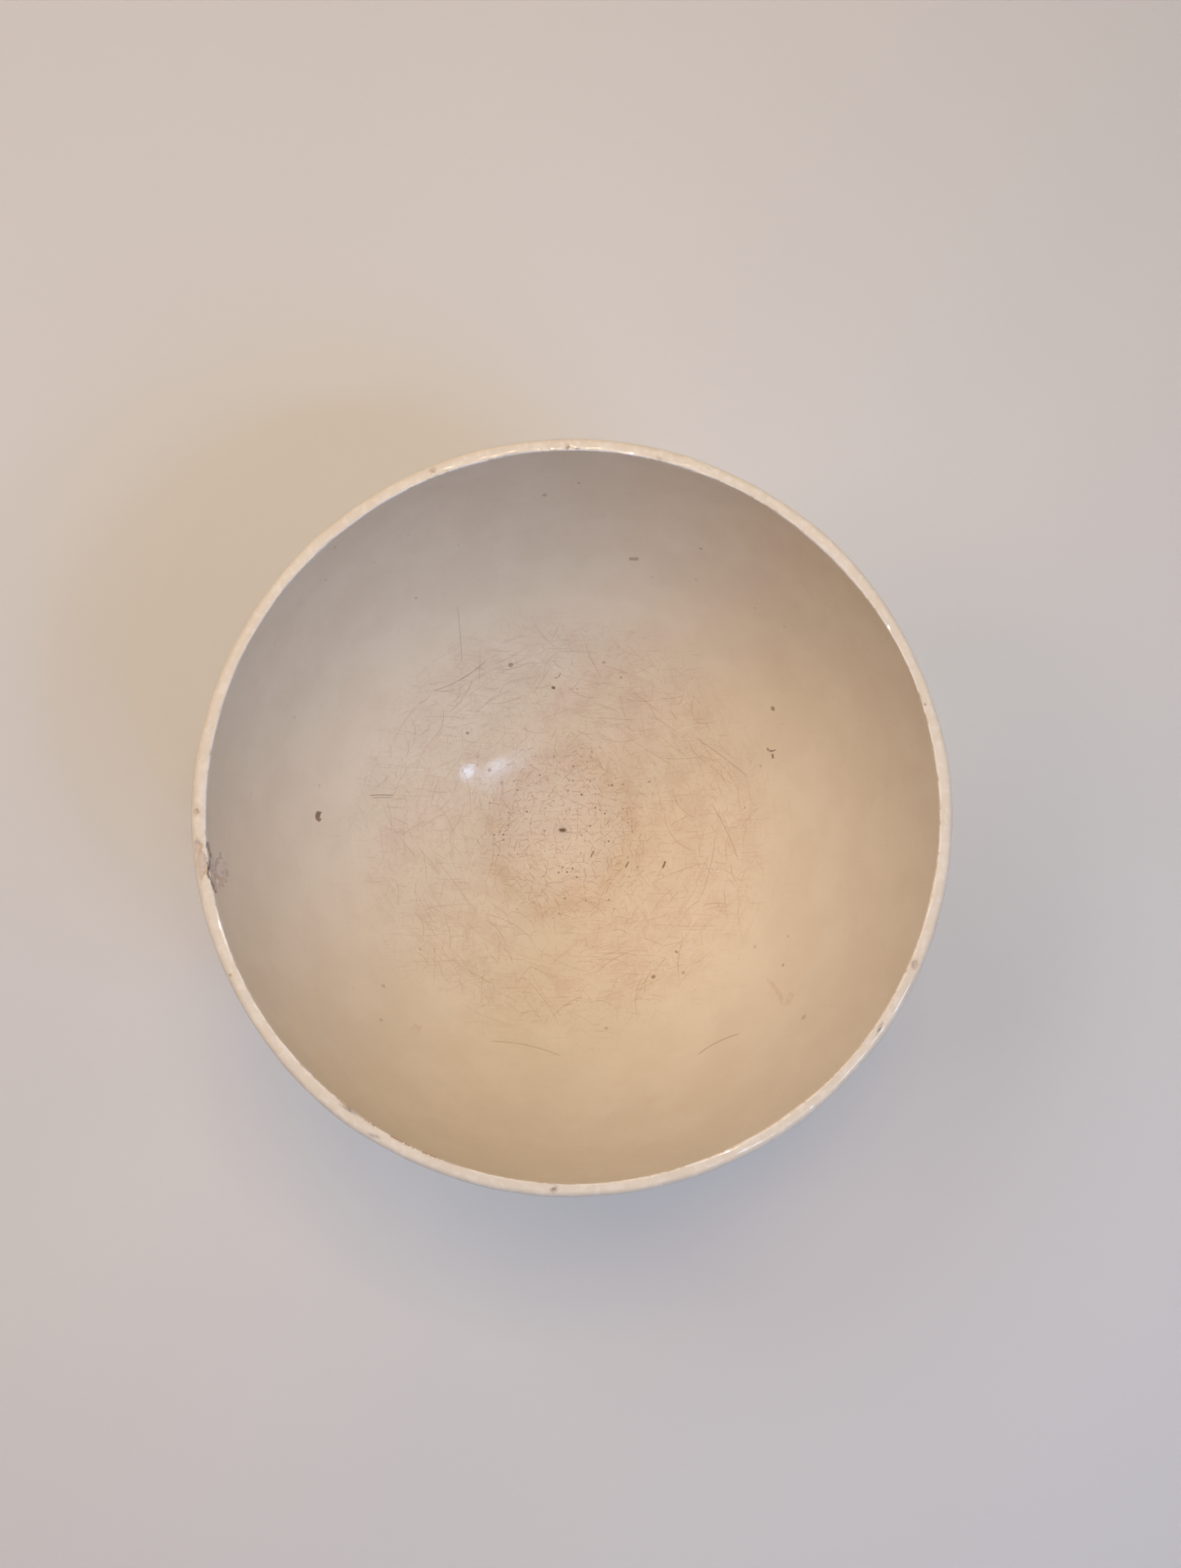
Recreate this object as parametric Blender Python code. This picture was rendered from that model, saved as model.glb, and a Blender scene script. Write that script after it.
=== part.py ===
"""Evaporating dish: a deep round basin of glazed ceramic, one fired piece, in metres.

The dish is a solid of revolution about +Z. It stands on its flat base, with the origin at the
centre of the base. Inside and outside are superellipses, a little fuller than an ellipse, so the
wall thickens evenly from the lip to the bottom. The lip is a narrow flat land, rounded well over
outwards and a little inwards.
"""

import math

import bpy
import numpy as np

# Driving dimensions, metres
RIM_DIAMETER = 0.216  # outside, at the lip
HEIGHT = 0.1300  # base to the top of the lip
RIM_WALL = 0.0042  # wall just under the lip
BOTTOM_WALL = 0.0055  # wall at the centre of the base
BASE_DIAMETER = 0.056  # flat underside that the dish stands on
BASE_CHAMFER = 0.0006  # slope between the flat underside and the bowl's outside
LIP_DEPTH = 0.0030  # from the top of the lip down to where the bowl's curve begins
LIP_OUTER_RADIUS = 0.0022  # rounding of the lip's outer edge
LIP_INNER_RADIUS = 0.0006  # rounding of the lip's inner edge
FULLNESS = 2.1  # exponent of the bowl's superellipse; 2 is an ellipse, more is fuller

# Fineness of the facets
SIDES = 72  # facets around the axis
BOWL_STEPS = 17  # facets from the axis to the rim, inside
OUTSIDE_STEPS = 14  # facets from the base to the rim, outside
ROUNDING_STEPS = 4  # facets across each rounded edge of the lip

# Glaze, as a plain cream
GLAZE_COLOUR = (0.68, 0.60, 0.46, 1.0)
GLAZE_ROUGHNESS = 0.18
GLAZE_COAT = 0.4


def clear_scene():
    for thing in list(bpy.data.objects):
        bpy.data.objects.remove(thing)


def bowl_curve(belly_z, across, down, start, end, steps):
    """Rows of (radius, height) on the superellipse (radius / across)^n + ((belly_z - height) / down)^n = 1.

    The points stand at even turns from start to end, where 0 is the rim and a quarter turn is the axis.
    """
    turn = np.linspace(start, end, steps + 1)
    power = 2 / FULLNESS
    radius = across * np.abs(np.cos(turn)) ** power
    height = belly_z - down * np.abs(np.sin(turn)) ** power
    return np.column_stack((radius, height))


def rounded_edge(centre_radius, centre_z, radius, start, end):
    """A quarter circle about (centre_radius, centre_z), as rows of (radius, height)."""
    turn = np.linspace(start, end, ROUNDING_STEPS + 1)
    return np.column_stack((centre_radius + radius * np.cos(turn), centre_z + radius * np.sin(turn)))


def depth_at(radius, across):
    """How deep the superellipse is at a radius, as a share of its whole depth."""
    return (1 - (radius / across) ** FULLNESS) ** (1 / FULLNESS)


def dish_profile():
    """Half of the dish's cross-section: up the inside from the axis, over the lip, down the outside to the axis."""
    rim_radius = RIM_DIAMETER / 2
    mouth_radius = rim_radius - RIM_WALL
    base_radius = BASE_DIAMETER / 2
    belly_z = HEIGHT - LIP_DEPTH  # where the bowl's curve turns upright

    inside = bowl_curve(belly_z, mouth_radius, belly_z - BOTTOM_WALL, math.pi / 2, 0, BOWL_STEPS)
    inside[0, 0] = 0.0
    lip_inside = rounded_edge(
        mouth_radius + LIP_INNER_RADIUS, HEIGHT - LIP_INNER_RADIUS, LIP_INNER_RADIUS, math.pi, math.pi / 2
    )
    lip_outside = rounded_edge(
        rim_radius - LIP_OUTER_RADIUS, HEIGHT - LIP_OUTER_RADIUS, LIP_OUTER_RADIUS, math.pi / 2, 0
    )
    # The outside curve is as deep as it must be to pass through the top of the base's chamfer.
    foot_radius = base_radius + BASE_CHAMFER
    outside_depth = (belly_z - BASE_CHAMFER) / depth_at(foot_radius, rim_radius)
    foot_turn = math.acos((foot_radius / rim_radius) ** (FULLNESS / 2))
    outside = bowl_curve(belly_z, rim_radius, outside_depth, 0, foot_turn, OUTSIDE_STEPS)
    base = np.array(((base_radius, 0.0), (0.0, 0.0)))
    return np.vstack((inside, lip_inside, lip_outside, outside, base))


def turned(name, profile):
    """A closed solid of revolution about Z, made by a Screw modifier from a profile that ends on the axis."""
    points = [(radius, 0.0, height) for radius, height in profile]
    edges = [(i, i + 1) for i in range(len(points) - 1)]
    mesh = bpy.data.meshes.new(name)
    mesh.from_pydata(points, edges, [])
    solid = bpy.data.objects.new(name, mesh)
    bpy.context.scene.collection.objects.link(solid)
    screw = solid.modifiers.new("turning", "SCREW")
    screw.axis = "Z"
    screw.angle = 2 * math.pi
    screw.steps = SIDES
    screw.render_steps = SIDES
    screw.use_merge_vertices = True
    screw.merge_threshold = 0.00001
    screw.use_smooth_shade = True
    return solid


def glaze():
    material = bpy.data.materials.new("cream glaze")
    material.use_nodes = True
    shader = material.node_tree.nodes["Principled BSDF"]
    shader.inputs["Base Color"].default_value = GLAZE_COLOUR
    shader.inputs["Roughness"].default_value = GLAZE_ROUGHNESS
    shader.inputs["Metallic"].default_value = 0.0
    shader.inputs["Coat Weight"].default_value = GLAZE_COAT
    return material


def make_dish():
    dish = turned("dish", dish_profile())
    dish.data.materials.append(glaze())
    return dish


clear_scene()
make_dish()
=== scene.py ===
"""An old evaporating dish: one deep basin of cream glazed ceramic, stirred, scratched and stained inside,
with a flake broken out of its lip."""

import math

import bpy
import numpy as np
from mathutils import Matrix, Vector


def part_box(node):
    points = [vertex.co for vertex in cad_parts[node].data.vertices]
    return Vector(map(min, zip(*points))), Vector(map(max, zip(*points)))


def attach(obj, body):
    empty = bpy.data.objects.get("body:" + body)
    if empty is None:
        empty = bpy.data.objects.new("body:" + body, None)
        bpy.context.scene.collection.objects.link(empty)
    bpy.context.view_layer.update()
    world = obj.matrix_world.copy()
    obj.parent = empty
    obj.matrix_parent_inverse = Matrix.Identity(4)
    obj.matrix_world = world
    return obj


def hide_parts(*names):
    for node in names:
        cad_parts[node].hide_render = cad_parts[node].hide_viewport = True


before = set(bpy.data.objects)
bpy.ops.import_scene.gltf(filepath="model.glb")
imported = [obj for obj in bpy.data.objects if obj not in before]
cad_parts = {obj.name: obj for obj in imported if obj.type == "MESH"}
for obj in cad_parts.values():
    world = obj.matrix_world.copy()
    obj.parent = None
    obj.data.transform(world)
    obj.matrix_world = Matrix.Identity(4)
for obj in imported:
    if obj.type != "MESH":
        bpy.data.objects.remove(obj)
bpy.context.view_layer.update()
DISH_LOW, DISH_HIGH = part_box("dish")

MM = 0.001
TURN = 2 * math.pi

# The dish, as the frame has it
RIM_RADIUS = DISH_HIGH.x
HEIGHT = DISH_HIGH.z
RIM_WALL = 4.2 * MM
BOTTOM_WALL = 5.5 * MM
BASE_RADIUS = 28 * MM
BASE_CHAMFER = 0.6 * MM
LIP_DEPTH = 3.0 * MM
LIP_OUTER_RADIUS = 2.2 * MM
LIP_INNER_RADIUS = 0.6 * MM
FULLNESS = 2.1
MOUTH_RADIUS = RIM_RADIUS - RIM_WALL
BELLY_Z = HEIGHT - LIP_DEPTH
BOWL_DEPTH = BELLY_Z - BOTTOM_WALL

# What only the fired piece has
FOOT_RING = 6.5 * MM  # width of the ground ring under the base
FOOT_HOLLOW = 0.5 * MM  # how far the middle of the base is hollowed
KILN_OVAL = 0.0015  # share of the radius that the mouth is out of round
WALL_WAVE = 0.10 * MM
LIP_WAVE = 0.12 * MM
CENTRE_PIT = 0.35 * MM
LIP_MIDDLE = 2.0 * MM  # from the arris, along the profile
FOOT_BEAD = 0.22 * MM  # glaze gathered above the foot
DEEPEST_BREAK = 1.5 * MM
CRACK_DEPTH = 0.18 * MM

# The mesh
ROWS = 178
COLUMNS = 560

# Broken places: azimuth in degrees, radius and height of the middle, half sizes round, across and up, in mm
CHIP_ANGLE = 189.6
BREAKS = (
    ("lip spall", 188.3, 106.3, HEIGHT / MM + 0.35, 5.4, 3.6, 1.05),
    ("flake", 190.4, 102.9, HEIGHT / MM - 8.0, 5.0, 1.5, 7.6),
    ("upper left nick", 113.9, 106.2, HEIGHT / MM + 0.2, 1.1, 0.9, 0.5),
    ("top nick", 92.1, 104.9, HEIGHT / MM + 0.2, 0.7, 0.6, 0.4),
    ("right nick", -25.3, 105.4, HEIGHT / MM + 0.2, 1.3, 1.1, 0.55),
    ("bottom nick", -93.9, 105.8, HEIGHT / MM + 0.1, 1.0, 0.8, 0.5),
    ("left nick", 181.2, 106.6, HEIGHT / MM, 0.8, 0.7, 0.5),
)
# Brown along the edge of the spall, of the flake and of each nick
EDGE_DIRT = (0.25, 0.10, 0.5)
# How wide a mm down the wall looks from above
WALL_SEEN = 0.265
# A dirty crack between the spall and the flake, and the flake's lower side: azimuth in degrees, mm outwards
# from the inner arris as seen from above
CRACK = (
    (186.0, -0.3),
    (187.0, -0.6),
    (188.1, -0.9),
    (189.1, -0.4),
    (189.9, 0.1),
    (190.7, 0.6),
    (192.0, -0.1),
    (193.5, -0.75),
)
FLAKE_SIDE = ((188.6, -4.1), (190.5, -4.3), (191.9, -3.9))
# Stains on the lip, the first of them a painted shadow where a small hole in the lip would be: azimuth, mm outwards
# from the arris, half length round, half width, strength
LIP_STAINS_AND_SHADOW = (
    # painted shadow of a small hole in the lip; the mesh has no hole here
    (-36.6, 1.6, 1.5, 0.36, 1.0),
    (-25.3, 1.3, 1.0, 0.8, 0.22),
    (92.1, 0.8, 0.6, 0.45, 0.8),
    (90.6, 0.7, 0.45, 0.4, 0.7),
    (113.9, 1.5, 0.8, 0.5, 0.4),
    (77.4, 0.5, 0.5, 0.4, 0.7),
    (69.1, 2.6, 0.5, 0.4, 0.5),
    (-93.9, 1.6, 0.8, 0.5, 0.7),
    (181.2, 2.0, 0.6, 0.5, 0.5),
    (-121.8, 2.4, 1.3, 0.4, 0.8),
    (-127.0, 0.5, 2.6, 0.35, 0.8),
)
# Where brown has settled in the nibbled arris: azimuth, half width in degrees, strength
ARRIS_STAINS = (
    (-120, 6, 1.0),
    (-112.7, 5, 1.0),
    (-128, 5, 0.8),
    (-94, 6, 0.5),
    (150, 25, 0.3),
    (-40, 10, 0.4),
    (60, 30, 0.25),
)


def superellipse(across, down, start, end, count):
    """Rows of (radius, height): radius = across cos(t)^(2/n), height = belly - down sin(t)^(2/n), n the fullness."""
    t = np.linspace(start, end, count)
    power = 2 / FULLNESS
    return np.column_stack((across * np.abs(np.cos(t)) ** power, BELLY_Z - down * np.abs(np.sin(t)) ** power))


def quarter(radius, height, size, start, end, count=200):
    """Rows on a circle of that size about (radius, height), from one angle to the other."""
    t = np.linspace(start, end, count)
    return np.column_stack((radius + size * np.cos(t), height + size * np.sin(t)))


def profile():
    """The dish's half section, from the axis up the inside, over the lip, down the outside and under the foot."""
    inside = superellipse(MOUTH_RADIUS, BOWL_DEPTH, math.pi / 2, 0, 4000)
    lip_inner = quarter(
        MOUTH_RADIUS + LIP_INNER_RADIUS, HEIGHT - LIP_INNER_RADIUS, LIP_INNER_RADIUS, math.pi, math.pi / 2
    )
    lip_outer = quarter(RIM_RADIUS - LIP_OUTER_RADIUS, HEIGHT - LIP_OUTER_RADIUS, LIP_OUTER_RADIUS, math.pi / 2, 0)
    foot = BASE_RADIUS + BASE_CHAMFER
    share = (1 - (foot / RIM_RADIUS) ** FULLNESS) ** (1 / FULLNESS)
    outside = superellipse(
        RIM_RADIUS, (BELLY_Z - BASE_CHAMFER) / share, 0, math.acos((foot / RIM_RADIUS) ** (FULLNESS / 2)), 4000
    )
    radius = np.linspace(BASE_RADIUS, 0, 1500)
    hollow = FOOT_HOLLOW * smooth_step((BASE_RADIUS - FOOT_RING - radius) / (2 * MM))
    return np.vstack((inside, lip_inner, lip_outer, outside, np.column_stack((radius, hollow))))


def smooth_step(x):
    """3x^2 - 2x^3 between 0 and 1, flat outside."""
    x = np.clip(x, 0, 1)
    return x * x * (3 - 2 * x)


def bell(x, width):
    """exp(-(x / width)^2): 1 at the middle, falling off to both sides."""
    return np.exp(-((x / width) ** 2))


def spaced(along, busy, count):
    """Places along a line, closer together where it is busy: equal shares of the running total of
    1 + sum of extra * exp(-(distance / width)^2)."""
    weight = 1 + sum(extra * bell(along - at, width) for at, width, extra in busy)
    total = np.concatenate(([0], np.cumsum((weight[1:] + weight[:-1]) / 2 * np.diff(along))))
    return np.interp(np.linspace(0, total[-1], count), total, along)


def lumps(points, size, seed, waves=14):
    """Soft random relief: the sum of plane waves in random directions with wavelengths near size, about one high."""
    draw = np.random.default_rng(seed)
    ways = draw.normal(size=(waves, 3))
    ways /= np.linalg.norm(ways, axis=1, keepdims=True)
    steps = TURN / (size * draw.uniform(0.6, 1.5, waves))
    shifts = draw.uniform(0, TURN, waves)
    total = sum(np.cos(points @ way * step + shift) for way, step, shift in zip(ways, steps, shifts))
    return total / math.sqrt(waves / 2)


def scooped(points, normals, angle, radius, height, half_sizes, seed):
    """How far each point must sink along its normal to lie on a lumpy ellipsoid that is cut out of the dish.

    With p the point and n its normal in the ellipsoid's own units, the depth t solves |p - n t| = 1. Points
    outside the ellipsoid stay. Also returns |p| - 1, which is 0 at the break's edge."""
    round_way = np.array((-math.sin(angle), math.cos(angle), 0.0))
    across_way = np.array((math.cos(angle), math.sin(angle), 0.0))
    axes = np.array((round_way, across_way, (0.0, 0.0, 1.0)))
    middle = across_way * radius + np.array((0, 0, height))
    size = np.array(half_sizes)
    jagged = 1 + 0.13 * lumps(points, 5.0 * MM, seed) + 0.09 * lumps(points, 1.7 * MM, seed + 1)
    size_here = size * jagged[..., None]
    p = ((points - middle) @ axes.T) / size_here
    n = (normals @ axes.T) / size_here
    a, b, c = (n * n).sum(-1), (p * n).sum(-1), (p * p).sum(-1) - 1
    depth = np.where(c < 0, (b + np.sqrt(np.maximum(b * b - a * c, 0))) / a, 0)
    ripples = 1 + 0.06 * np.sin(points[..., 2] / (0.9 * MM) * TURN + 1.6 * lumps(points, 5 * MM, seed + 2))
    return depth * ripples, np.sqrt(np.maximum(c + 1, 0)) - 1


def near_line(x, y, corners):
    """Distance from each point (x, y) to the nearest stretch of a line through the corners."""
    nearest = np.full(np.broadcast_shapes(x.shape, y.shape), np.inf)
    for (x0, y0), (x1, y1) in zip(corners[:-1], corners[1:]):
        dx, dy = x1 - x0, y1 - y0
        share = np.clip(((x - x0) * dx + (y - y0) * dy) / (dx * dx + dy * dy), 0, 1)
        nearest = np.minimum(nearest, np.hypot(x - x0 - share * dx, y - y0 - share * dy))
    return nearest


def closed_turning(name, rings, first_pole, last_pole):
    """A closed mesh from rings of points: a fan at each end, four-sided faces between the rings."""
    count, columns = rings.shape[:2]
    first, last = count * columns, count * columns + 1
    i, j = np.meshgrid(np.arange(count - 1), np.arange(columns), indexing="ij")
    k = (j + 1) % columns
    quads = np.stack((i * columns + j, (i + 1) * columns + j, (i + 1) * columns + k, i * columns + k), -1)
    j = np.arange(columns)
    k = (j + 1) % columns
    start = (count - 1) * columns
    first_fan = np.column_stack((np.full(columns, first), j, k))
    last_fan = np.column_stack((start + j, np.full(columns, last), start + k))
    loops = np.concatenate((quads.ravel(), first_fan.ravel(), last_fan.ravel()))
    sizes = np.concatenate((np.full(quads.size // 4, 4), np.full(2 * columns, 3)))
    points = np.vstack((rings.reshape(-1, 3), first_pole, last_pole))

    mesh = bpy.data.meshes.new(name)
    mesh.vertices.add(len(points))
    mesh.vertices.foreach_set("co", points.astype(np.float32).ravel())
    mesh.loops.add(len(loops))
    mesh.loops.foreach_set("vertex_index", loops.astype(np.int32))
    mesh.polygons.add(len(sizes))
    mesh.polygons.foreach_set("loop_start", np.concatenate(([0], np.cumsum(sizes)[:-1])).astype(np.int32))
    mesh.polygons.foreach_set("loop_total", sizes.astype(np.int32))
    mesh.polygons.foreach_set("use_smooth", np.ones(len(sizes), bool))
    mesh.update(calc_edges=True)
    mesh.validate()
    return mesh


def profile_rows():
    """Rows along the profile, closer at the lip, the broken wall and the foot: distance along, radius, height,
    the normal's two parts, and the distances of the arris and of the foot's edge."""
    line = profile()
    steps = np.linalg.norm(np.diff(line, axis=0), axis=1)
    line = line[np.concatenate(([True], steps > 1e-9))]
    along = np.concatenate(([0], np.cumsum(np.linalg.norm(np.diff(line, axis=0), axis=1))))
    arris = along[np.argmax(line[:, 1] > HEIGHT - 0.35 * MM)]
    foot_edge = along[-1] - BASE_RADIUS
    busy = (
        (0, 4 * MM, 3),
        (arris - 7 * MM, 7 * MM, 4),
        (arris + LIP_MIDDLE, 4 * MM, 11),
        (foot_edge, 2.5 * MM, 5),
        (foot_edge + FOOT_RING, 2 * MM, 3),
    )
    at = spaced(along, busy, ROWS)
    radius, height = np.interp(at, along, line[:, 0]), np.interp(at, along, line[:, 1])
    reach = 0.3 * MM
    across = np.interp(at + reach, along, line[:, 0]) - np.interp(at - reach, along, line[:, 0])
    up = np.interp(at + reach, along, line[:, 1]) - np.interp(at - reach, along, line[:, 1])
    across[0], up[0], across[-1], up[-1] = 1, 0, -1, 0
    size = np.hypot(across, up)
    return at, radius, height, -up / size, across / size, arris, foot_edge


def columns_round():
    """Turns round the axis from -180 degrees, closer at the chip and at each nick."""
    busy = [(math.radians(CHIP_ANGLE) - TURN, 0.085, 6)]
    busy += [(math.radians((angle + 180) % 360 - 180), 0.016, 4) for _, angle, *_ in BREAKS[2:]]
    return spaced(np.linspace(-math.pi, math.pi, 40001), busy, COLUMNS + 1)[:-1]


def lip_dirt_and_shade(turn, out, smooth):
    """Dirt in the crack, along the flake's side and in the lip's stains, and a painted shadow where a small hole in
    the lip would be. Everything is placed in mm, round the rim and outwards from the arris. Also returns the distance
    from the crack."""
    degree = RIM_RADIUS / MM * math.pi / 180
    arc = (np.degrees(turn) % 360) * degree
    seen = np.where(out < 0, WALL_SEEN * out, out)
    shake = 0.10 * lumps(smooth, 2.2 * MM, 19)
    crack = near_line(arc + 0 * out, seen + shake, [(a * degree, b) for a, b in CRACK])
    side = near_line(arc + 0 * out, seen + shake, [(a * degree, b) for a, b in FLAKE_SIDE])
    dirt_and_shade = np.maximum(bell(crack, 0.32), 0.4 * bell(side, 0.20))
    half_turn = 180 * degree
    for angle, middle, half_round, half_out, strength in LIP_STAINS_AND_SHADOW:
        apart = ((arc - (angle % 360) * degree + half_turn) % (2 * half_turn) - half_turn) / half_round
        slanted = (out - middle + 0.35 * apart) / half_out
        dirt_and_shade = np.maximum(dirt_and_shade, strength * bell(np.hypot(apart, slanted) + 0.15 * shake, 0.9))
    return dirt_and_shade, crack


def make_dish_mesh():
    at, radius, height, n_radius, n_height, arris, foot_edge = profile_rows()
    lip_middle = arris + LIP_MIDDLE
    turn = columns_round()
    cos, sin = np.cos(turn), np.sin(turn)
    ring = slice(1, -1)  # the rows between the two points on the axis
    r, z = radius[ring, None], height[ring, None]
    n_out, n_up = n_radius[ring, None], n_height[ring, None]
    normals = np.stack(np.broadcast_arrays(n_out * cos, n_out * sin, n_up), -1)
    smooth = np.stack(np.broadcast_arrays(r * cos, r * sin, z), -1)

    s = at[ring, None]
    inside = smooth_step((arris - s) / (0.6 * MM) + 0.5)
    lip = bell(s - lip_middle, 3.2 * MM)
    high = smooth_step(z / HEIGHT)
    foot = smooth_step((s - foot_edge + 0.5 * MM) / (0.8 * MM))
    wave = WALL_WAVE * lumps(smooth, 60 * MM, 11) * high * (1 - 0.5 * foot)
    wave = wave + 0.035 * MM * lumps(smooth, 22 * MM, 12) * (1 - foot)
    throwing = np.sin(s / (5.5 * MM) * TURN + 0.8 * lumps(smooth, 90 * MM, 13))
    wave = wave + 0.05 * MM * throwing * (1 - inside) * (1 - lip) * (1 - foot)
    wave = wave - 0.10 * MM * np.abs(lumps(smooth, 4.2 * MM, 14)) * bell(s - arris, 0.7 * MM)
    wave = wave + 0.06 * MM * lumps(smooth, 7 * MM, 15) * lip
    wave = wave - CENTRE_PIT * bell(r, 1.1 * MM) * inside * (n_up > 0.5)
    wave = wave + FOOT_BEAD * bell(s - foot_edge + 2.4 * MM, 1.1 * MM)
    points = smooth + normals * wave[..., None]

    bare = np.zeros(wave.shape)
    edge = np.zeros(wave.shape)
    for seed, (_, angle, middle, level, *half_sizes) in enumerate(BREAKS):
        depth, apart = scooped(
            points, normals, math.radians(angle), middle * MM, level * MM, [h * MM for h in half_sizes], 40 + 2 * seed
        )
        points = points - normals * np.minimum(depth, DEEPEST_BREAK)[..., None]
        bare = np.maximum(bare, smooth_step(depth / (0.12 * MM)))
        edge = np.maximum(edge, bell(apart * min(half_sizes), 0.20) * EDGE_DIRT[min(seed, 2)])

    dirt_and_shade, crack = lip_dirt_and_shade(turn, (s - arris) / MM, smooth)
    points = points - normals * (CRACK_DEPTH * bell(crack, 0.25))[..., None]
    settled = 0.12 + sum(
        strength * bell((np.degrees(turn) - angle + 180) % 360 - 180, half) for angle, half, strength in ARRIS_STAINS
    )

    oval = 1 + KILN_OVAL * high * np.cos(2 * (turn - 0.6))
    points[..., 0] *= oval
    points[..., 1] *= oval
    points[..., 2] += LIP_WAVE * lumps(smooth, 80 * MM, 17) * high * high

    mesh = closed_turning("dish_glazed", points, (0, 0, height[0] - CENTRE_PIT), (0, 0, height[-1]))

    ones = np.ones(wave.shape)
    past_arris = smooth_step((s - arris + 0.2 * MM) / (0.6 * MM))
    lip_band = past_arris * smooth_step((lip_middle + 3.4 * MM - s) / (1.6 * MM))
    marks = {
        "inside": (inside * ones, 1, 0),
        "arris": (bell(s - arris, 0.42 * MM) * ones, 0, 0),
        "lip": (lip_band * ones, 0, 0),
        "bare": (bare, 0, 0),
        "break_edge": (edge, 0, 0),
        "dirt_and_shade": (dirt_and_shade, 0, 0),
        "settled": (bell(s - arris, 0.5 * MM) * settled, 0, 0),
        "foot": (foot * ones, 0, 1),
    }
    for name, (values, at_centre, at_base) in marks.items():
        layer = mesh.attributes.new(name, "FLOAT", "POINT")
        layer.data.foreach_set("value", np.concatenate((values.ravel(), (at_centre, at_base))).astype(np.float32))
    return mesh


class Finish:
    """Short calls for building a material. Plain numbers go straight on the sockets."""

    def __init__(self, name):
        self.material = bpy.data.materials.new(name)
        self.material.use_nodes = True
        self.tree = self.material.node_tree
        self.shader = self.tree.nodes["Principled BSDF"]

    def feed(self, socket, value):
        if isinstance(value, bpy.types.NodeSocket):
            self.tree.links.new(value, socket)
        else:
            socket.default_value = value

    def node(self, kind, inputs=None, **settings):
        made = self.tree.nodes.new(kind)
        for key, value in settings.items():
            setattr(made, key, value)
        for key, value in (inputs or {}).items():
            self.feed(made.inputs[key], value)
        return made

    def maths(self, operation, *values, clamp=False):
        return self.node("ShaderNodeMath", dict(enumerate(values)), operation=operation, use_clamp=clamp).outputs[0]

    def times(self, *values):
        result = values[0]
        for value in values[1:]:
            result = self.maths("MULTIPLY", result, value)
        return result

    def plus(self, *values):
        result = values[0]
        for value in values[1:]:
            result = self.maths("ADD", result, value)
        return result

    def most(self, *values):
        result = values[0]
        for value in values[1:]:
            result = self.maths("MAXIMUM", result, value)
        return result

    def vector(self, operation, *values):
        return self.node("ShaderNodeVectorMath", dict(enumerate(values)), operation=operation).outputs[0]

    def joined(self, x, y, z):
        return self.node("ShaderNodeCombineXYZ", {0: x, 1: y, 2: z}).outputs[0]

    def split(self, vector):
        return self.node("ShaderNodeSeparateXYZ", {0: vector}).outputs

    def step(self, value, start, end, low=0.0, high=1.0):
        """A smooth change from low to high as value goes from start to end."""
        return self.node(
            "ShaderNodeMapRange", {0: value, 1: start, 2: end, 3: low, 4: high}, interpolation_type="SMOOTHSTEP"
        ).outputs[0]

    def noise(self, vector, scale, detail=2.0, rough=0.5, warp=0.0, dimensions="3D"):
        return self.node(
            "ShaderNodeTexNoise",
            {"Vector": vector, "Scale": scale, "Detail": detail, "Roughness": rough, "Distortion": warp},
            noise_dimensions=dimensions,
        ).outputs[0]

    def mixed(self, share, a, b, way="MIX"):
        made = self.node("ShaderNodeMix", data_type="RGBA", blend_type=way)
        for socket, value in ((made.inputs[0], share), (made.inputs[6], a), (made.inputs[7], b)):
            self.feed(socket, value)
        return made.outputs[2]

    def attribute(self, name):
        return self.node("ShaderNodeAttribute", attribute_name=name).outputs["Fac"]


def paint(r, g, b):
    return (r, g, b, 1.0)


# Colours
CREAM = paint(0.735, 0.655, 0.530)
CREAM_PALE = paint(0.78, 0.69, 0.56)
CREAM_DULL = paint(0.70, 0.60, 0.47)
TEA_STAIN = paint(0.56, 0.38, 0.25)
PINK_STAIN = paint(0.62, 0.45, 0.36)
WORN_GREY = paint(0.67, 0.565, 0.47)
# painted highlight colour, for the lip's streaks and the arris line
HIGHLIGHT_PALE = paint(0.95, 0.91, 0.84)
SCRATCH_BROWN = paint(0.42, 0.24, 0.125)
SCRATCH_PALE = paint(0.84, 0.78, 0.68)
PIT_BROWN = paint(0.15, 0.075, 0.035)
BISCUIT = paint(0.56, 0.47, 0.375)
BISCUIT_PALE = paint(0.63, 0.53, 0.425)
FLAKE = paint(0.75, 0.62, 0.52)
BREAK_LINE_AND_SHADOW = paint(0.06, 0.03, 0.015)
FOOT_BISCUIT = paint(0.60, 0.545, 0.46)
RUBBED_GREY = paint(0.36, 0.33, 0.29)

# Zones of the inside, as radius from the axis, mm
DISC_EDGE = 25.0
RING_MIDDLE = 29.0
PALE_MIDDLE = 38.0
STIRRED_FROM, STIRRED_TO = 42.0, 74.0

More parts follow.
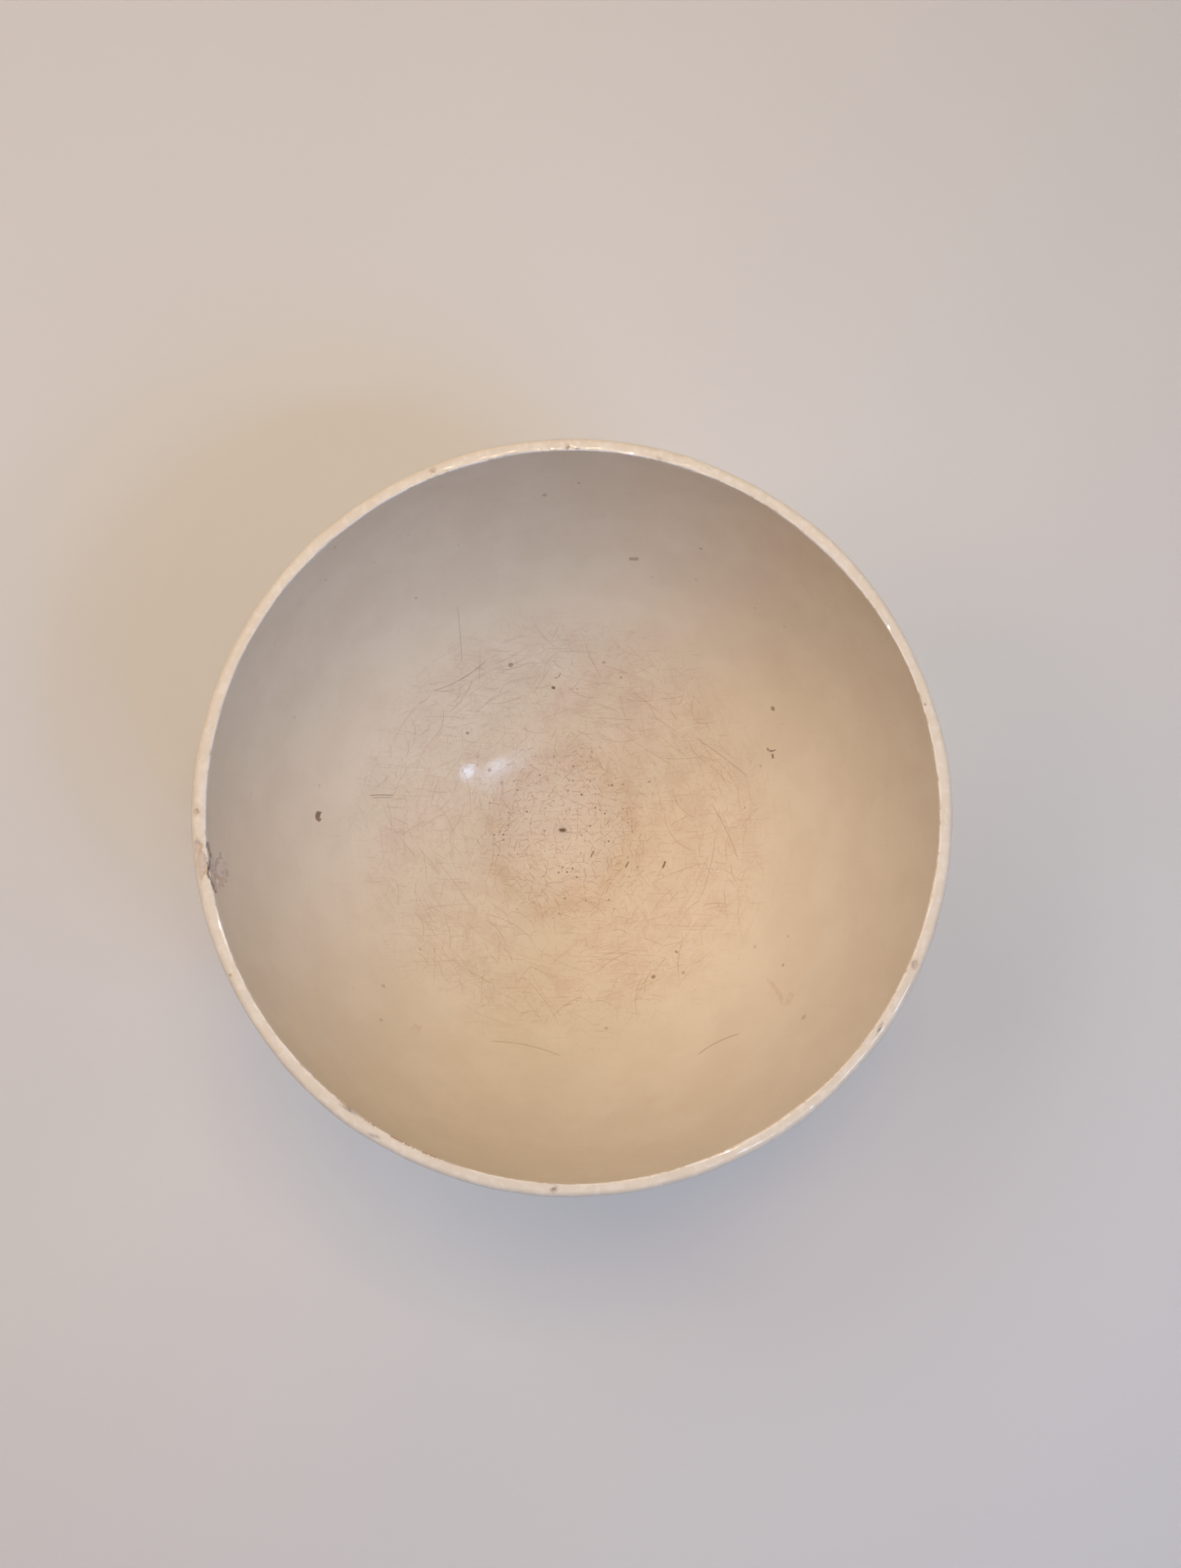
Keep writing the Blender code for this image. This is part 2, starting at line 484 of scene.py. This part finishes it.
# Marks inside, in mm from the axis: x, y, turn in degrees, length, width, bend, strength
MARKS = (
    ("comma speck", -85.9, 1.8, 84, 3.4, 1.3, 0.12, 0.85),
    ("comma tail", -85.4, 0.4, 60, 1.4, 0.7, 0.0, 0.7),
    ("curl", 74.0, 26.9, -20, 2.9, 0.6, -0.40, 0.8),
    ("curl tail", 74.8, 25.0, -80, 1.8, 0.6, 0.0, 0.75),
    ("dash one", 11.6, -9.4, 61, 3.3, 0.55, 0.0, 0.7),
    ("dash two", 25.0, -13.5, 63, 2.8, 0.6, 0.0, 0.75),
    ("dash three", 38.9, -13.6, 69, 3.0, 0.65, 0.0, 0.85),
    ("hook", -2.4, 57.3, 39, 3.1, 0.45, -0.3, 0.55),
    ("dark speck", -4.2, 53.6, -12, 1.5, 1.0, 0.0, 0.85),
    ("upper dash", 21.8, 90.1, -5, 3.4, 0.7, 0.0, 0.45),
    ("left speck", -36.7, 36.0, 4, 1.3, 0.9, 0.0, 0.6),
    ("low speck", 41.5, -46.2, -35, 1.2, 0.9, 0.0, 0.6),
    ("left scratch", -67.0, 11.1, 5, 8.0, 0.35, 0.01, 0.6),
    ("left scratch two", -66.9, 10.2, 5, 6.7, 0.3, 0.01, 0.45),
    ("right scratch", 58.9, 26.8, -41, 25.0, 0.28, 0.004, 0.35),
    ("right scratch two", 60.9, -1.0, -68, 24.0, 0.28, 0.006, 0.35),
    ("right scratch three", 55.4, -13.9, -103, 23.0, 0.26, 0.006, 0.30),
    ("upper scratch", -38.6, 68.0, -87, 17.0, 0.28, 0.004, 0.30),
    ("upper arc", -38.4, 54.7, 32, 24.0, 0.28, -0.008, 0.35),
    ("low scratch", 50.0, -74.7, 28, 16.0, 0.3, 0.008, 0.35),
    ("low arc", -13.8, -77.5, -12, 26.0, 0.3, 0.006, 0.30),
)
SMUDGES = (
    ("long smudge", 70.4, -57.7, -74, 8.5, 1.5, 0.03, 0.30),
    ("short smudge", 72.8, -59.5, 57, 4.7, 1.2, 0.0, 0.26),
    ("pink smudge", -51.1, -69.9, -32, 3.4, 2.0, 0.05, 0.32),
    ("low smudge", -36.0, -40.0, 80, 6.0, 3.0, 0.02, 0.22),
)

# Layers of stirring scratches: cells per metre, seed, share that runs round the axis, half length in cells,
# width in mm, share of the cells that hold one
STIRRINGS = (
    (40, 1.0, 0.60, 0.50, 0.34, 0.60),
    (52, 2.0, 0.35, 0.48, 0.30, 0.65),
    (67, 3.0, 0.80, 0.50, 0.28, 0.60),
    (88, 4.0, 0.20, 0.46, 0.27, 0.60),
    (118, 5.0, 0.60, 0.46, 0.25, 0.55),
    (150, 6.0, 0.00, 0.46, 0.24, 0.50),
    (60, 7.0, 0.05, 0.50, 0.26, 0.45),
)
# Short hairlines, the same way
HAIRLINES = (
    (190, 8.0, 0.00, 0.50, 0.17, 0.85),
    (255, 9.0, 0.30, 0.50, 0.16, 0.85),
    (340, 10.0, 0.00, 0.48, 0.15, 0.80),
)


def stroke(f, x, y, place):
    """A short bent line: in its own turned frame, across + bend * along^2 is under half its width."""
    _, px, py, turn, length, width, bend, strength = place
    c, s = math.cos(math.radians(turn)), math.sin(math.radians(turn))
    dx, dy = f.maths("SUBTRACT", x, px), f.maths("SUBTRACT", y, py)
    along = f.plus(f.times(dx, c), f.times(dy, s))
    across = f.maths("SUBTRACT", f.times(dy, c), f.times(dx, s))
    across = f.plus(across, f.times(along, along, bend))
    body = f.step(f.maths("ABSOLUTE", across), 0.6 * width, 0.35 * width)
    ends = f.step(f.maths("ABSOLUTE", along), 0.52 * length, 0.40 * length)
    return f.times(body, ends, strength)


def stirring(f, flat, layer):
    """One layer of fine scratches: each cell of a plane pattern holds one bent line, turned at random or
    round the axis."""
    scale, seed, round_share, half_length, width, share = layer
    shift = (seed * 7.3, seed * 3.1, 0.0)
    scaled = f.node("ShaderNodeVectorMath", {0: flat, 3: scale}, operation="SCALE").outputs[0]
    place = f.vector("ADD", scaled, shift)
    cells = f.node("ShaderNodeTexVoronoi", {"Vector": place, "Scale": 1.0, "Randomness": 1.0}, voronoi_dimensions="2D")
    middle = cells.outputs["Position"]
    draw = f.node("ShaderNodeSeparateColor", {0: cells.outputs["Color"]}).outputs
    own = f.vector("SUBTRACT", place, middle)
    axis = f.split(f.vector("SUBTRACT", middle, shift))
    round_turn = f.plus(f.maths("ARCTAN2", axis[1], axis[0]), math.pi / 2)
    spread = f.times(f.maths("SUBTRACT", draw[0], 0.5), TURN / 2 * (1 - 0.75 * round_share))
    turn = f.plus(f.times(round_turn, 1.0 if round_share > 0.1 else 0.0), spread)
    back = f.times(turn, -1.0)
    turned = f.node("ShaderNodeVectorRotate", {"Vector": own, "Angle": back}, rotation_type="Z_AXIS").outputs[0]
    along, aside, _ = f.split(turned)
    bend = f.plus(f.times(f.maths("SUBTRACT", draw[1], 0.5), 1.1), 0.35 * round_share)
    across = f.plus(aside, f.times(along, along, bend))
    half_width = width * MM * scale / 2
    body = f.step(f.maths("ABSOLUTE", across), half_width * 1.5, half_width * 0.5)
    ends = f.step(f.maths("ABSOLUTE", along), half_length, half_length * 0.55)
    kept = f.maths("LESS_THAN", draw[2], share)
    return f.times(body, ends, kept, f.plus(0.45, f.times(draw[1], 0.55)))


def specks(f, place, scale, size, share):
    """Round-ish specks in random cells: closer to the cell's middle than size, in a share of the cells."""
    cells = f.node("ShaderNodeTexVoronoi", {"Vector": place, "Scale": scale, "Randomness": 1.0}, voronoi_dimensions="3D")
    draw = f.node("ShaderNodeSeparateColor", {0: cells.outputs["Color"]}).outputs
    reach = f.times(size * MM * scale, f.plus(0.45, f.times(draw[1], 0.8)))
    edge = size * MM * scale
    spot = f.step(f.maths("SUBTRACT", cells.outputs["Distance"], reach), 0.10 * edge, -0.35 * edge)
    return f.times(spot, f.maths("LESS_THAN", draw[0], share), f.plus(0.4, f.times(draw[2], 0.6)))


def glazed_cream():
    f = Finish("cream_glaze_used")
    place = f.node("ShaderNodeTexCoord").outputs["Object"]
    x, y, z = f.split(place)
    flat = f.joined(x, y, 0.0)
    x_mm, y_mm = f.times(x, 1 / MM), f.times(y, 1 / MM)
    radius = f.maths("SQRT", f.plus(f.times(x_mm, x_mm), f.times(y_mm, y_mm)))
    soft = f.noise(place, 55, 3, 0.55)
    patchy = f.noise(place, 130, 4, 0.65)
    fine = f.noise(place, 620, 3, 0.6)
    soft_wander = f.times(f.maths("SUBTRACT", soft, 0.5), 16.0)
    wander = f.plus(radius, soft_wander, f.times(f.maths("SUBTRACT", patchy, 0.5), 14.0))

    inside, lip, arris = f.attribute("inside"), f.attribute("lip"), f.attribute("arris")
    bare, break_edge, foot = f.attribute("bare"), f.attribute("break_edge"), f.attribute("foot")
    dirt_and_shade, settled = f.attribute("dirt_and_shade"), f.attribute("settled")
    bowl = f.times(inside, f.maths("SUBTRACT", 1.0, lip))

    # Zones inside
    disc = f.times(f.step(wander, DISC_EDGE + 5, DISC_EDGE - 6), bowl)
    ring = f.times(f.step(wander, 14, RING_MIDDLE), f.step(wander, PALE_MIDDLE + 4, RING_MIDDLE - 2), bowl)
    pale = f.times(f.step(wander, 30, PALE_MIDDLE), f.step(wander, 50, PALE_MIDDLE + 2), bowl)
    stirred = f.times(f.step(wander, 24, STIRRED_FROM + 4), f.step(wander, STIRRED_TO + 6, STIRRED_TO - 12), bowl)
    used = f.times(f.step(wander, STIRRED_TO + 10, STIRRED_TO - 10), bowl)

    # Drawn-out fibres: noise stretched round the axis, and straight across
    angle = f.maths("ARCTAN2", y, x)
    cosine, sine = f.times(f.maths("COSINE", angle), 3.0), f.times(f.maths("SINE", angle), 3.0)
    round_fibre = f.noise(f.joined(cosine, sine, f.times(radius, 0.9)), 1.0, 4, 0.7)
    drawn = f.node("ShaderNodeMapping", {"Vector": place, "Rotation": (0, 0, 0.5), "Scale": (90.0, 1500.0, 90.0)})
    cross_fibre = f.noise(drawn.outputs[0], 1.0, 2, 0.55)

    colour = f.mixed(f.step(soft, 0.38, 0.66), CREAM_DULL, CREAM_PALE)
    colour = f.mixed(0.65, colour, CREAM)
    colour = f.mixed(f.times(f.step(patchy, 0.52, 0.75), 0.10), colour, PINK_STAIN)
    fibre = f.plus(f.step(cross_fibre, 0.58, 0.70), f.step(round_fibre, 0.56, 0.68))
    colour = f.mixed(f.times(fibre, f.plus(f.times(used, 0.20), f.times(disc, 0.14), 0.015)), colour, SCRATCH_BROWN)
    colour = f.mixed(f.times(ring, f.plus(0.12, f.times(f.step(patchy, 0.36, 0.62), 0.30))), colour, TEA_STAIN)
    colour = f.mixed(f.times(disc, f.plus(0.20, f.times(f.step(fine, 0.38, 0.62), 0.45))), colour, WORN_GREY)
    colour = f.mixed(f.times(pale, 0.30), colour, CREAM_PALE)
    colour = f.mixed(f.times(stirred, f.plus(0.04, f.times(f.step(patchy, 0.45, 0.62), 0.20))), colour, PINK_STAIN)

    lines = [stirring(f, flat, layer) for layer in STIRRINGS]
    scratch = f.times(f.plus(*lines[:5]), f.plus(stirred, f.times(disc, 0.5), f.times(ring, 0.7)))
    dust = f.times(f.plus(*lines[5:]), bowl, f.plus(0.15, used))
    hairs = [stirring(f, flat, layer) for layer in HAIRLINES]
    where_hair = f.plus(f.times(disc, 0.85), f.times(ring, 0.55), f.times(used, 0.38), f.times(bowl, 0.05))
    hair = f.times(f.plus(*hairs), where_hair)
    colour = f.mixed(f.maths("MULTIPLY", dust, 0.40, clamp=True), colour, SCRATCH_PALE)
    colour = f.mixed(f.maths("MULTIPLY", hair, 0.80, clamp=True), colour, SCRATCH_BROWN)
    colour = f.mixed(f.maths("MULTIPLY", scratch, 0.45, clamp=True), colour, SCRATCH_BROWN)

    # Pits and specks
    where_worn = f.plus(f.times(disc, 1.0), f.times(ring, 0.6), f.times(used, 0.15))
    pits = f.plus(
        f.times(specks(f, place, 560, 0.42, 0.34), where_worn),
        f.times(specks(f, place, 210, 0.75, 0.05), f.plus(f.times(bowl, 0.25), f.times(used, 0.55))),
        f.times(specks(f, place, 95, 1.0, 0.10), f.plus(f.times(bowl, 0.55), 0.25)),
    )
    colour = f.mixed(f.maths("MULTIPLY", pits, 0.85, clamp=True), colour, PIT_BROWN)
    marks = f.times(f.most(*[stroke(f, x_mm, y_mm, one) for one in MARKS]), bowl, f.step(fine, 0.22, 0.42))
    smudges = f.times(f.most(*[stroke(f, x_mm, y_mm, one) for one in SMUDGES]), bowl, f.step(fine, 0.35, 0.55))
    colour = f.mixed(smudges, colour, TEA_STAIN)
    colour = f.mixed(marks, colour, PIT_BROWN)
    from_pit = f.maths("SQRT", f.plus(f.times(x_mm, x_mm, 0.5), f.times(y_mm, y_mm, 1.5)))
    pit = f.times(f.step(f.plus(from_pit, f.times(f.maths("SUBTRACT", fine, 0.5), 2.4)), 1.6, 0.5), bowl)
    halo = f.times(f.step(radius, 5.0, 1.0), bowl)
    colour = f.mixed(f.times(halo, 0.18), colour, RUBBED_GREY)
    colour = f.mixed(f.times(pit, 0.92), colour, PIT_BROWN)

    # Lip: the arris painted pale and broken as a highlight line, pale highlight streaks painted along the lip, and
    # brown in the arris's nibbled places
    nibble = f.noise(place, 330, 3, 0.7)
    arris_brown = f.times(settled, f.step(nibble, 0.42, 0.56))
    # Painted highlights: pale streaks along the lip, then a pale broken line along the arris
    colour = f.mixed(f.times(lip, f.step(nibble, 0.48, 0.62), 0.22), colour, HIGHLIGHT_PALE)
    colour = f.mixed(f.times(f.step(arris, 0.15, 0.55), f.step(nibble, 0.36, 0.50), 0.95), colour, HIGHLIGHT_PALE)
    colour = f.mixed(f.maths("MULTIPLY", arris_brown, 0.75, clamp=True), colour, SCRATCH_BROWN)
    lip_spots = f.times(lip, specks(f, place, 260, 0.5, 0.10))
    colour = f.mixed(f.times(lip_spots, 0.7), colour, SCRATCH_BROWN)

    # Bare biscuit where it is broken, and under the foot
    grain = f.noise(place, 1500, 3, 0.7)
    biscuit = f.mixed(f.step(grain, 0.35, 0.65), BISCUIT, BISCUIT_PALE)
    biscuit = f.mixed(f.maths("SUBTRACT", 1.0, lip), biscuit, FLAKE)
    colour = f.mixed(bare, colour, biscuit)
    colour = f.mixed(f.times(break_edge, f.step(nibble, 0.40, 0.55), 0.6), colour, SCRATCH_BROWN)
    # Near black: dirt in the crack and along the flake, the lip's stains, and the painted shadow of a small hole in
    # the lip
    colour = f.mixed(f.maths("MULTIPLY", dirt_and_shade, 0.92, clamp=True), colour, BREAK_LINE_AND_SHADOW)
    under = f.mixed(f.step(f.noise(place, 240, 4, 0.7), 0.45, 0.65), FOOT_BISCUIT, RUBBED_GREY)
    colour = f.mixed(foot, colour, under)
    f.feed(f.shader.inputs["Base Color"], colour)

    # Gloss
    rough = f.plus(0.045, f.times(soft, 0.03), f.times(used, 0.02), f.times(disc, 0.07), f.times(ring, 0.02))
    rough = f.plus(rough, f.times(scratch, 0.2), f.times(hair, 0.12))
    rough = f.most(rough, f.times(bare, 0.85), f.times(foot, 0.9), f.times(pits, 0.5))
    f.feed(f.shader.inputs["Roughness"], rough)
    f.feed(f.shader.inputs["IOR"], 1.52)

    # Relief, in mm
    peel = f.times(f.noise(place, 170, 2, 0.5), 0.012)
    how_worn = f.plus(f.times(disc, 0.20), f.times(ring, 0.09), f.times(used, 0.022), 0.002)
    worn = f.times(f.noise(place, 950, 3, 0.7), how_worn)
    rough_clay = f.times(grain, f.plus(f.times(bare, 0.14), f.times(foot, 0.08)))
    relief = f.plus(peel, worn, f.times(fine, 0.006), f.times(cross_fibre, used, -0.012), rough_clay)
    relief = f.plus(relief, f.times(nibble, arris, 0.10))
    bump = f.node("ShaderNodeBump", {"Strength": 1.0, "Distance": MM, "Height": relief})
    f.feed(f.shader.inputs["Normal"], bump.outputs[0])
    return f.material


def pale_floor():
    f = Finish("pale_studio_floor")
    place = f.node("ShaderNodeTexCoord").outputs["Object"]
    shade = f.noise(place, 3, 2, 0.5)
    f.feed(f.shader.inputs["Base Color"], f.mixed(shade, paint(0.66, 0.65, 0.62), paint(0.72, 0.71, 0.68)))
    f.feed(f.shader.inputs["Roughness"], 0.6)
    return f.material


def make_dish():
    dish = bpy.data.objects.new("dish_glazed", make_dish_mesh())
    bpy.context.scene.collection.objects.link(dish)
    dish.data.materials.append(glazed_cream())
    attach(dish, "root")
    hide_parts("dish")
    return dish


def make_floor():
    mesh = bpy.data.meshes.new("floor")
    half = 3.0
    mesh.from_pydata([(-half, -half, 0), (half, -half, 0), (half, half, 0), (-half, half, 0)], [], [(0, 1, 2, 3)])
    floor = bpy.data.objects.new("floor", mesh)
    bpy.context.scene.collection.objects.link(floor)
    mesh.materials.append(pale_floor())


# Lights: name, place from the middle of the mouth in metres, width, height, colour, watts
LIGHTS = (
    ("overhead_softbox", (0.0, 0.0, 1.60), 1.00, 1.00, (1.0, 0.85, 0.66), 6.2),
    ("high_softbox", (0.0, 0.55, 1.30), 0.50, 0.40, (1.0, 0.60, 0.28), 3.7),
    ("key_softbox", (0.0, 1.05, 1.00), 0.80, 0.50, (1.0, 0.70, 0.50), 1.6),
    ("upper_left_softbox", (-0.75, 0.75, 1.00), 0.60, 0.60, (0.92, 1.0, 1.0), 3.7),
    ("left_softbox", (-1.05, 0.0, 1.00), 0.60, 0.60, (1.0, 0.70, 0.62), 4.4),
    ("low_right_softbox", (0.75, -0.75, 1.00), 0.60, 0.60, (0.25, 0.48, 1.0), 5.9),
    ("right_softbox", (1.05, 0.0, 1.00), 0.60, 0.60, (1.0, 0.96, 0.88), 1.3),
    ("window_far", (0.934, -0.406, 0.917), 0.07, 0.10, (0.45, 0.68, 1.0), 0.70),
    ("window_middle", (0.687, -0.464, 1.084), 0.16, 0.10, (0.45, 0.68, 1.0), 1.40),
    ("window_near", (0.423, -0.574, 1.160), 0.07, 0.10, (0.45, 0.68, 1.0), 0.70),
    ("bulb_one", (0.118, 0.148, 0.536), 0.018, 0.018, (1.0, 0.80, 0.55), 0.07),
    ("bulb_two", (0.071, 0.201, 0.528), 0.018, 0.018, (1.0, 0.80, 0.55), 0.07),
    ("bulb_three", (0.022, 0.233, 0.520), 0.018, 0.018, (1.0, 0.80, 0.55), 0.07),
    ("bulb_four", (-0.044, 0.245, 0.513), 0.018, 0.018, (1.0, 0.80, 0.55), 0.07),
    ("axis_lamp", (-0.026, 0.016, 0.616), 0.012, 0.012, (1.0, 1.0, 0.95), 0.40),
)
SKY = (0.97, 0.97, 1.0)
SKY_STRENGTH = 0.036


def make_lights():
    middle = Vector((0, 0, HEIGHT))
    for name, place, width, height, colour, watts in LIGHTS:
        lamp = bpy.data.lights.new(name, "AREA")
        lamp.shape = "ELLIPSE" if width < 0.05 else "RECTANGLE"
        lamp.size, lamp.size_y = width, height
        lamp.color = colour
        lamp.energy = watts
        light = bpy.data.objects.new(name, lamp)
        bpy.context.scene.collection.objects.link(light)
        light.location = middle + Vector(place)
        light.rotation_mode = "QUATERNION"
        light.rotation_quaternion = Vector(place).to_track_quat("Z", "Y")
        light.visible_glossy = not name.endswith("softbox")
    world = bpy.data.worlds.new("soft_room")
    world.use_nodes = True
    world.node_tree.nodes["Background"].inputs["Color"].default_value = (*SKY, 1.0)
    world.node_tree.nodes["Background"].inputs["Strength"].default_value = SKY_STRENGTH
    bpy.context.scene.world = world


# Camera, over the mouth and a little off the axis
CAMERA_PLACE = Vector((-0.01838, -0.02486, 0.31889))  # from the middle of the mouth
CAMERA_RIGHT = Vector((0.99780, 0.0, 0.06626))
CAMERA_UP = Vector((-0.00639, 0.99533, 0.09630))
LENS_MM = 26.04


def make_camera():
    data = bpy.data.cameras.new("camera")
    data.lens = LENS_MM
    data.sensor_width = 36.0
    camera = bpy.data.objects.new("camera", data)
    bpy.context.scene.collection.objects.link(camera)
    right, up = CAMERA_RIGHT.normalized(), CAMERA_UP.normalized()
    back = right.cross(up)
    turn = Matrix((right, up, back)).transposed()
    camera.matrix_world = Matrix.Translation(CAMERA_PLACE + Vector((0, 0, HEIGHT))) @ turn.to_4x4()
    bpy.context.scene.camera = camera


make_dish()
make_floor()
make_lights()
make_camera()
bpy.context.scene.view_settings.view_transform = "Standard"
